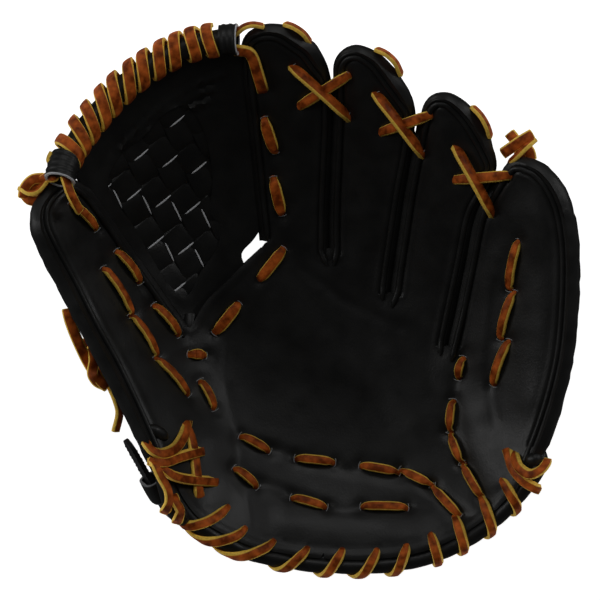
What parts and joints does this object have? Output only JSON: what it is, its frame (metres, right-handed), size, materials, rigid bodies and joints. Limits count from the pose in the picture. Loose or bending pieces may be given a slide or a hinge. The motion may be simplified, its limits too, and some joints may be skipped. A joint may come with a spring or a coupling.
{
  "type": "baseball fielder's glove",
  "caption": "Black leather baseball fielding glove for the left hand: separate finger stalls, closed woven web under a lace-wrapped bar, tan lacing, open wrist with strap.",
  "frame": {"origin": "under the middle of the glove's bounding box, on the surface the back of the hand rests on", "axes": "+Z out of the palm, +Y towards the fingertips, +X towards the little finger"},
  "size_m": [0.2748, 0.2776, 0.112],
  "materials": {
    "leather": "oiled steerhide, near black, satin",
    "lace": "tan rawhide lace with pale cut edges",
    "felt": "pressed wool felt",
    "lining": "soft undyed lining leather",
    "fleece": "cream fleece",
    "stiffener": "semi-rigid sheet",
    "strap_end": "ribbed moulded tab, satin black"
  },
  "bodies": {
    "hand": {"palm_leather": "leather", "palm_pad": "felt", "palm_lining": "lining", "index_stall": "leather", "index_welt": "leather", "middle_stall": "leather", "middle_welt": "leather", "ring_stall": "leather", "ring_welt": "leather", "index_tip_lace": "lace", "middle_tip_lace": "lace", "ring_tip_lace": "lace", "palm_lace_upper": "lace", "palm_lace_lower": "lace", "little_hinge_lace": "lace", "web_base_lace": "lace", "web_index_lace": "lace", "heel_roll": "leather", "heel_lace": "lace", "back_of_hand": "leather", "crotch_gusset": "leather", "wrist_strap": "leather", "wrist_strap_pad": "fleece"},
    "thumb": {"heel_lace_thumb": "lace", "heel_roll_thumb": "leather", "strap_keeper": "leather", "thumb_back_lace": "lace", "thumb_base_lace": "lace", "thumb_leather": "leather", "thumb_loop": "leather", "thumb_pad": "felt", "thumb_stall": "leather", "thumb_stall_lace": "lace", "thumb_stiffener": "stiffener", "thumb_tip_knot": "lace", "thumb_web_lace": "lace", "thumb_welt": "leather", "weave_strap_a1": "leather", "weave_strap_a2": "leather", "weave_strap_a3": "leather", "weave_strap_a4": "leather", "weave_strap_a5": "leather", "weave_strap_b1": "leather", "weave_strap_b2": "leather", "weave_strap_b3": "leather", "weave_strap_b4": "leather", "web_bar": "leather", "web_bar_lace": "lace", "web_collar_index": "leather", "web_collar_thumb": "leather", "web_frame": "leather"},
    "little": {"little_leather": "leather", "little_stall": "leather", "little_welt": "leather", "little_stall_lace": "lace", "little_pad": "felt", "little_stiffener": "stiffener", "little_loop": "leather", "little_tip_knot": "lace"},
    "strap_end": {"wrist_strap_tip": "strap_end"}
  },
  "joints": [
    {"name": "thumb_fold", "type": "hinge", "parent": "hand", "child": "thumb", "pos_m": [-0.02691, 0.00148, 0.0775], "axis": [0, 0.9982, 0.0599], "range_deg": [0, 60]},
    {"name": "little_fold", "type": "hinge", "parent": "hand", "child": "little", "pos_m": [0.08709, -0.02252, 0.086], "axis": [-0.0573, -0.9854, -0.1604], "range_deg": [0, 35], "deforming": ["ring_tip_lace"]},
    {"name": "strap_slide", "type": "slide", "parent": "thumb", "child": "strap_end", "axis": [-0.4468, 0.8085, 0.383], "range_m": [-0.008, 0.012]}
  ]
}
